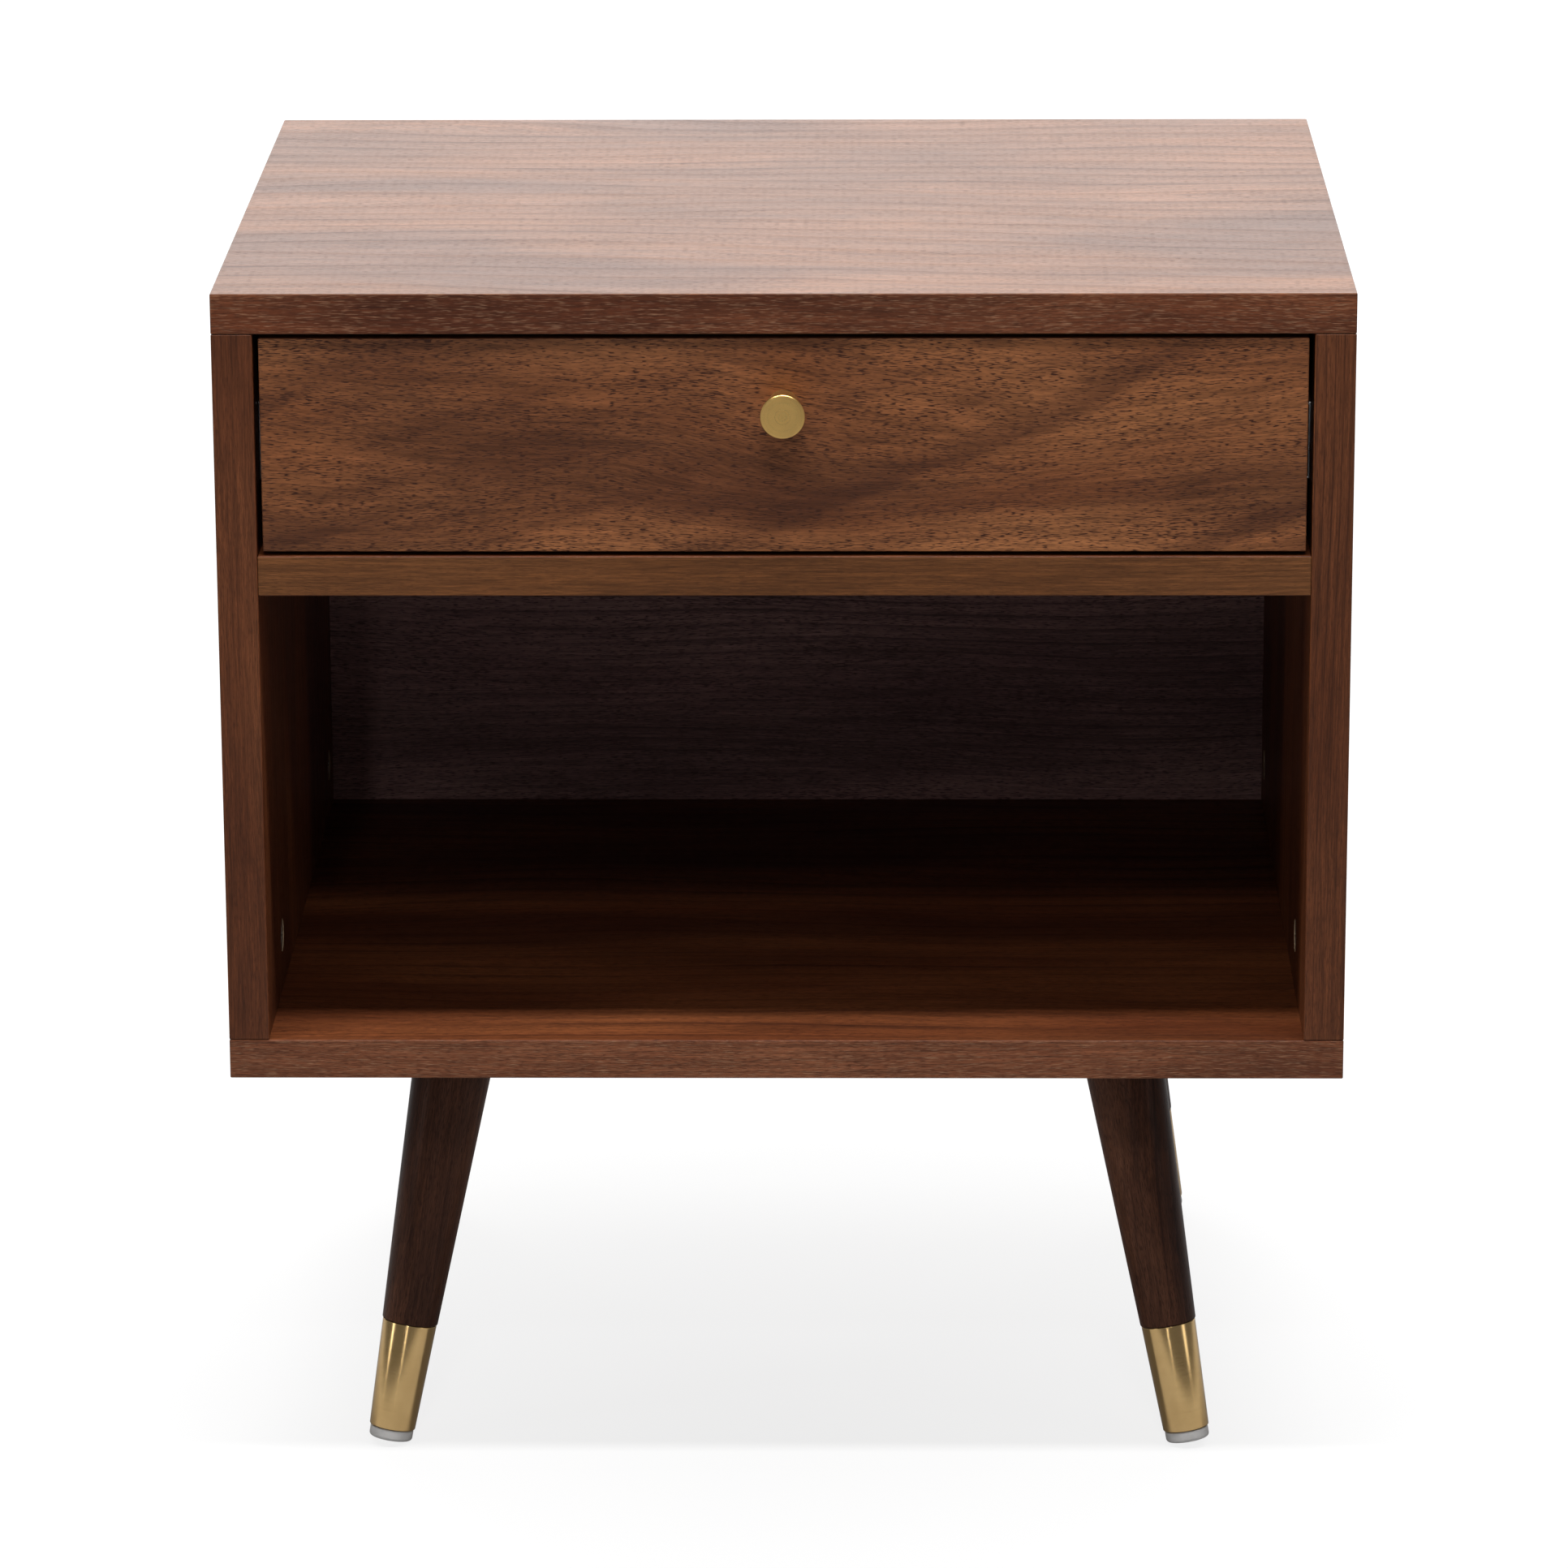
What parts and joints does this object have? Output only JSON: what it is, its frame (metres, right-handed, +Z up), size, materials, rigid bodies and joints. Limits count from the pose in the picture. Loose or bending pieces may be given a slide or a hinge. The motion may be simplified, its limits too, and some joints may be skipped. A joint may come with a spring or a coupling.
{
  "type": "nightstand",
  "caption": "Walnut-veneered bedside table with an inset drawer above an open compartment, a round brass knob and splayed tapered legs with brass ferrules.",
  "frame": {"origin": "on the floor, under the middle of the object's bounding box (the knob included)", "axes": "+Z up, front of the nightstand towards -Y, +X to the right of someone facing the front"},
  "size_m": [0.5, 0.423, 0.55],
  "materials": {
    "walnut_veneer": "walnut veneer, satin clear lacquer",
    "back_veneer": "dark walnut-grain foil on a thin panel, satin",
    "drawer_box_board": "walnut-grain laminate, satin",
    "hardboard": "thin board with a walnut-grain foil on its upper face",
    "satin_brass": "satin brass, fine turned lines on the disc",
    "brushed_brass": "brushed brass, lengthwise sheen",
    "zinc_plated_steel": "zinc-plated steel",
    "cam_zinc": "die-cast zinc, matt",
    "beech_dowel": "raw beech",
    "stained_leg_wood": "turned hardwood, espresso stain, satin lacquer",
    "black_steel": "black powder coat",
    "glide_plastic": "light grey moulded plastic"
  },
  "bodies": {
    "cabinet": {"top_panel": "walnut_veneer", "bottom_panel": "walnut_veneer", "left_side_panel": "walnut_veneer", "right_side_panel": "walnut_veneer", "middle_shelf": "walnut_veneer", "back_panel": "back_veneer", "left_slide_cabinet_member": "zinc_plated_steel", "right_slide_cabinet_member": "zinc_plated_steel", "left_front_lower_cam_lock": "cam_zinc", "left_front_lower_cam_bolt": "zinc_plated_steel", "left_front_upper_cam_lock": "cam_zinc", "left_front_upper_cam_bolt": "zinc_plated_steel", "left_rear_lower_cam_lock": "cam_zinc", "left_rear_lower_cam_bolt": "zinc_plated_steel", "left_rear_upper_cam_lock": "cam_zinc", "left_rear_upper_cam_bolt": "zinc_plated_steel", "right_front_lower_cam_lock": "cam_zinc", "right_front_lower_cam_bolt": "zinc_plated_steel", "right_front_upper_cam_lock": "cam_zinc", "right_front_upper_cam_bolt": "zinc_plated_steel", "right_rear_lower_cam_lock": "cam_zinc", "right_rear_lower_cam_bolt": "zinc_plated_steel", "right_rear_upper_cam_lock": "cam_zinc", "right_rear_upper_cam_bolt": "zinc_plated_steel", "left_front_shelf_dowel": "beech_dowel", "left_rear_shelf_dowel": "beech_dowel", "right_front_shelf_dowel": "beech_dowel", "right_rear_shelf_dowel": "beech_dowel", "front_left_leg": "stained_leg_wood", "front_left_ferrule": "brushed_brass", "front_left_glide": "glide_plastic", "front_left_leg_plate": "black_steel", "front_left_hanger_bolt": "zinc_plated_steel", "front_right_leg": "stained_leg_wood", "front_right_ferrule": "brushed_brass", "front_right_glide": "glide_plastic", "front_right_leg_plate": "black_steel", "front_right_hanger_bolt": "zinc_plated_steel", "rear_right_leg": "stained_leg_wood", "rear_right_ferrule": "brushed_brass", "rear_right_glide": "glide_plastic", "rear_right_leg_plate": "black_steel", "rear_right_hanger_bolt": "zinc_plated_steel", "rear_left_leg": "stained_leg_wood", "rear_left_ferrule": "brushed_brass", "rear_left_glide": "glide_plastic", "rear_left_leg_plate": "black_steel", "rear_left_hanger_bolt": "zinc_plated_steel"},
    "slide_carriage": {"left_slide_middle_member": "zinc_plated_steel", "right_slide_middle_member": "zinc_plated_steel"},
    "drawer": {"drawer_front": "walnut_veneer", "drawer_left_side": "drawer_box_board", "drawer_right_side": "drawer_box_board", "drawer_back": "drawer_box_board", "drawer_bottom": "hardboard", "drawer_knob": "satin_brass", "knob_screw": "zinc_plated_steel", "left_slide_drawer_member": "zinc_plated_steel", "right_slide_drawer_member": "zinc_plated_steel"}
  },
  "joints": [
    {"name": "drawer_slide", "type": "slide", "parent": "cabinet", "child": "drawer", "axis": [0, -1, 0], "range_m": [0, 0.35]},
    {"name": "slide_extension", "type": "slide", "parent": "cabinet", "child": "slide_carriage", "axis": [0, -1, 0], "range_m": [0, 0.175]}
  ],
  "couplings": [
    {"joint": "slide_extension", "follows": "drawer_slide", "ratio": 0.5}
  ]
}
